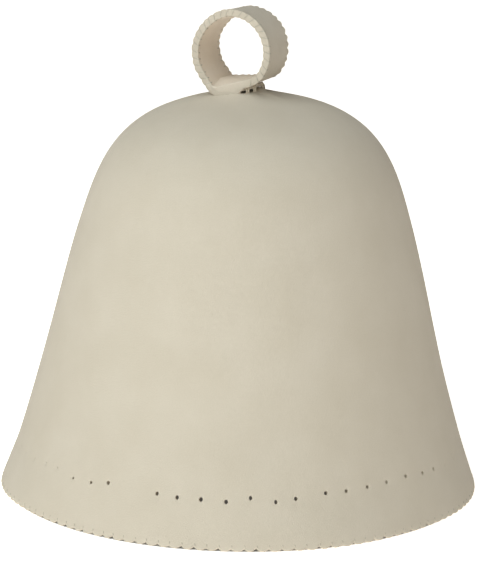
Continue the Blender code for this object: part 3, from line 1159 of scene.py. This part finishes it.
def build_edge_stitches():
    bm = bmesh.new()
    for side, wrap in EDGE_WRAPS.items():
        stitch = stitch_mesh("edge_stitch", wrap)
        at_tail, at_end = EDGE_LEFT_OUT[side]
        for number in range(at_tail, EDGE_STITCHES - at_end):
            along = number * EDGE_STEP + edge_slip(number, side)
            out = half_width(along) - SCALLOP_DEPTHS[side] - wrap.bulge + EDGE_OUTSET[side]
            place = Matrix.Translation((along, side * out, 0.0))
            facing_out = Matrix.Rotation(side * pi / 2, 4, "Z")
            slant = slanted(wrap.gap, side * EDGE_SLANT * (1 + 0.2 * sin(1.7 * number)))
            sew(bm, stitch, place @ facing_out @ slant, after=lay)
    finish_piece(bm, "strip_stitches", FINE_THREAD)


build_edge_stitches()

# %% [markdown]
# ## Sewing the loop down
# A few heavy stitches of doubled thread go from the side of the tongue into the crown. They are
# spaced by hand, with small dark gaps where the tongue stands off the felt, and each one's height
# is worked out from the felt below it.

# %% Tack stitches
TACK_ANGLES = (-66, -44, -23, 10, 33, 54, 75)  # round the tongue's rim, from +X
TACK_WRAP = Wrap(gap=0.0, bulge=0.55 * MM, leg=0.9 * MM, thread=0.58 * MM)  # the gap varies
TACK_GAP = 1.0 * MM  # between the two threads
TACK_INSET = 0.3 * MM
TACK_SINK = 0.6 * MM
TACK_TOP = 0.5 * MM  # above the middle of the tongue's felt


def tack_place(angle):
    """Where the tongue's rim is at that angle on the flat strip, and which way is out."""
    radius = STRIP_WIDTH / 2
    out = Vector((-cos(angle), sin(angle), 0.0))
    power = 2 / TONGUE_BLUNTNESS
    side = 1 if sin(angle) > 0 else -1
    rim = Vector((-cos(angle) ** power, side * abs(sin(angle)) ** power, 0.0))
    return Vector((radius, 0.0, 0.0)) + rim * radius, out


def drop_to_crown(flat):
    """How far the crown's felt lies below the strip's underside there."""
    under = bend(flat - UP * STRIP_THICKNESS / 2)
    return under.z - plain_crown(under.x, under.y) - drawn_up(under.x, under.y)


def build_tacks():
    bm = bmesh.new()
    for degrees in TACK_ANGLES:
        rim, out = tack_place(radians(degrees))
        low = -STRIP_THICKNESS / 2 - drop_to_crown(rim) - TACK_SINK
        wrap = TACK_WRAP._replace(gap=(TACK_TOP - low) / 2)
        stitch = stitch_mesh("tack_stitch", wrap)
        facing_out = Matrix.Rotation(atan2(out.y, out.x), 4, "Z")
        place = Matrix.Translation(rim + UP * (low + TACK_TOP) / 2)
        for ply in (-0.5, 0.5):
            beside = Matrix.Translation((-TACK_INSET, ply * TACK_GAP, 0))
            sew(bm, stitch, place @ facing_out @ beside, after=bend)
        bpy.data.meshes.remove(stitch)
        print("tack at %4d degrees spans %.1f mm" % (degrees, (TACK_TOP - low) / MM))
    # Their thread's pale colour is partly painted light, for stitches in the ring's shadow.
    finish_piece(bm, "tack_stitches", HEAVY_THREAD)


build_tacks()

# %% [markdown]
# ## Floor and light
# The hat stands on a plain pale table lit from below, which keeps the background white. The main
# light is large and soft, high at the front left, with weaker ones round it, so that the right
# side falls off gently and nothing is black. Each lamp is a row of a table: a place round the
# hat, a size, a strength and a colour.

# %% Floor
FLOOR_HALF = 40.0
FLOOR_COLOUR = (0.86, 0.86, 0.85, 1)
FLOOR_ROUGHNESS = 0.9
FLOOR_SHINE = 0.5
FLOOR_GLOW = 0.80
GLOW_BELOW_HAT = 0.05
GLOW_COLOUR = (1.0, 0.95, 0.89, 1)
UNLIT_RADIUS = 124.4 * MM  # hardly any light comes from below the hat itself
UNLIT_EDGE = 0.5 * MM


def make_floor():
    material, tree, shader, where = open_material("pale_floor", FLOOR_ROUGHNESS, FLOOR_SHINE)
    reach = add(tree, "ShaderNodeVectorMath", {0: where}, operation="LENGTH").outputs["Value"]
    glow = remap(tree, reach, UNLIT_RADIUS - UNLIT_EDGE, UNLIT_RADIUS + UNLIT_EDGE,
                 GLOW_BELOW_HAT, FLOOR_GLOW)
    fill(tree, shader, {"Base Color": FLOOR_COLOUR, "Emission Color": GLOW_COLOUR,
                        "Emission Strength": glow})
    bm = bmesh.new()
    bmesh.ops.create_grid(bm, x_segments=1, y_segments=1, size=FLOOR_HALF)
    floor = in_scene("floor", as_mesh(bm, "floor"))
    floor.data.materials.append(material)
    floor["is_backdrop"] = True
    print("floor", 2 * FLOOR_HALF, "m wide")


make_floor()

# %% Lamps and the room's own light
class Lamp(NamedTuple):
    """A square soft lamp. Its azimuth is from the camera's own, to the right."""
    azimuth: float
    elevation: float
    distance: float
    width: float
    watts: float
    colour: tuple


LAMPS = {
    "key": Lamp(-27.0, 60.0, 3.2, 4.2, 83.0, (0.94, 0.99, 1.00)),
    "key left": Lamp(-35.0, 32.0, 2.6, 2.4, 22.4, (0.88, 0.98, 1.00)),
    "top": Lamp(0.0, 85.0, 2.4, 2.4, 4.0, (0.94, 0.99, 1.00)),
    "behind": Lamp(170.0, 40.0, 2.4, 2.0, 5.0, (0.94, 0.98, 1.00)),
}
ROOM_COLOUR = (1.00, 0.86, 0.70, 1)
ROOM_STRENGTH = 0.05


def light_scene():
    for name, lamp in LAMPS.items():
        data = bpy.data.lights.new(name, "AREA")
        data.shape = "SQUARE"
        data.size = lamp.width
        data.energy = lamp.watts
        data.color = lamp.colour
        made = in_scene(name, data)
        azimuth = CAMERA_AZIMUTH + radians(lamp.azimuth)
        made.matrix_world = standing_at(azimuth, radians(lamp.elevation), lamp.distance, HAT_MIDDLE)
    world = bpy.data.worlds.new("room")
    world.use_nodes = True
    room = world.node_tree
    fill(room, room.nodes["Background"], {"Color": ROOM_COLOUR, "Strength": ROOM_STRENGTH})
    bpy.context.scene.world = world
    bpy.context.scene.view_settings.view_transform = "Standard"
    print(len(LAMPS), "lamps and the room's own light")


light_scene()

# %% [markdown]
# ## Sizes and the end
# The dressed hat has to stay the size of the plain model, so both boxes are printed side by side.

# %% Write the sizes and finish
dressed_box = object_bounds()
boxes = {"cad": cad_box, "visual": dressed_box}
for name, box in boxes.items():
    print(name, [[round(value / MM, 1) for value in corner] for corner in box])
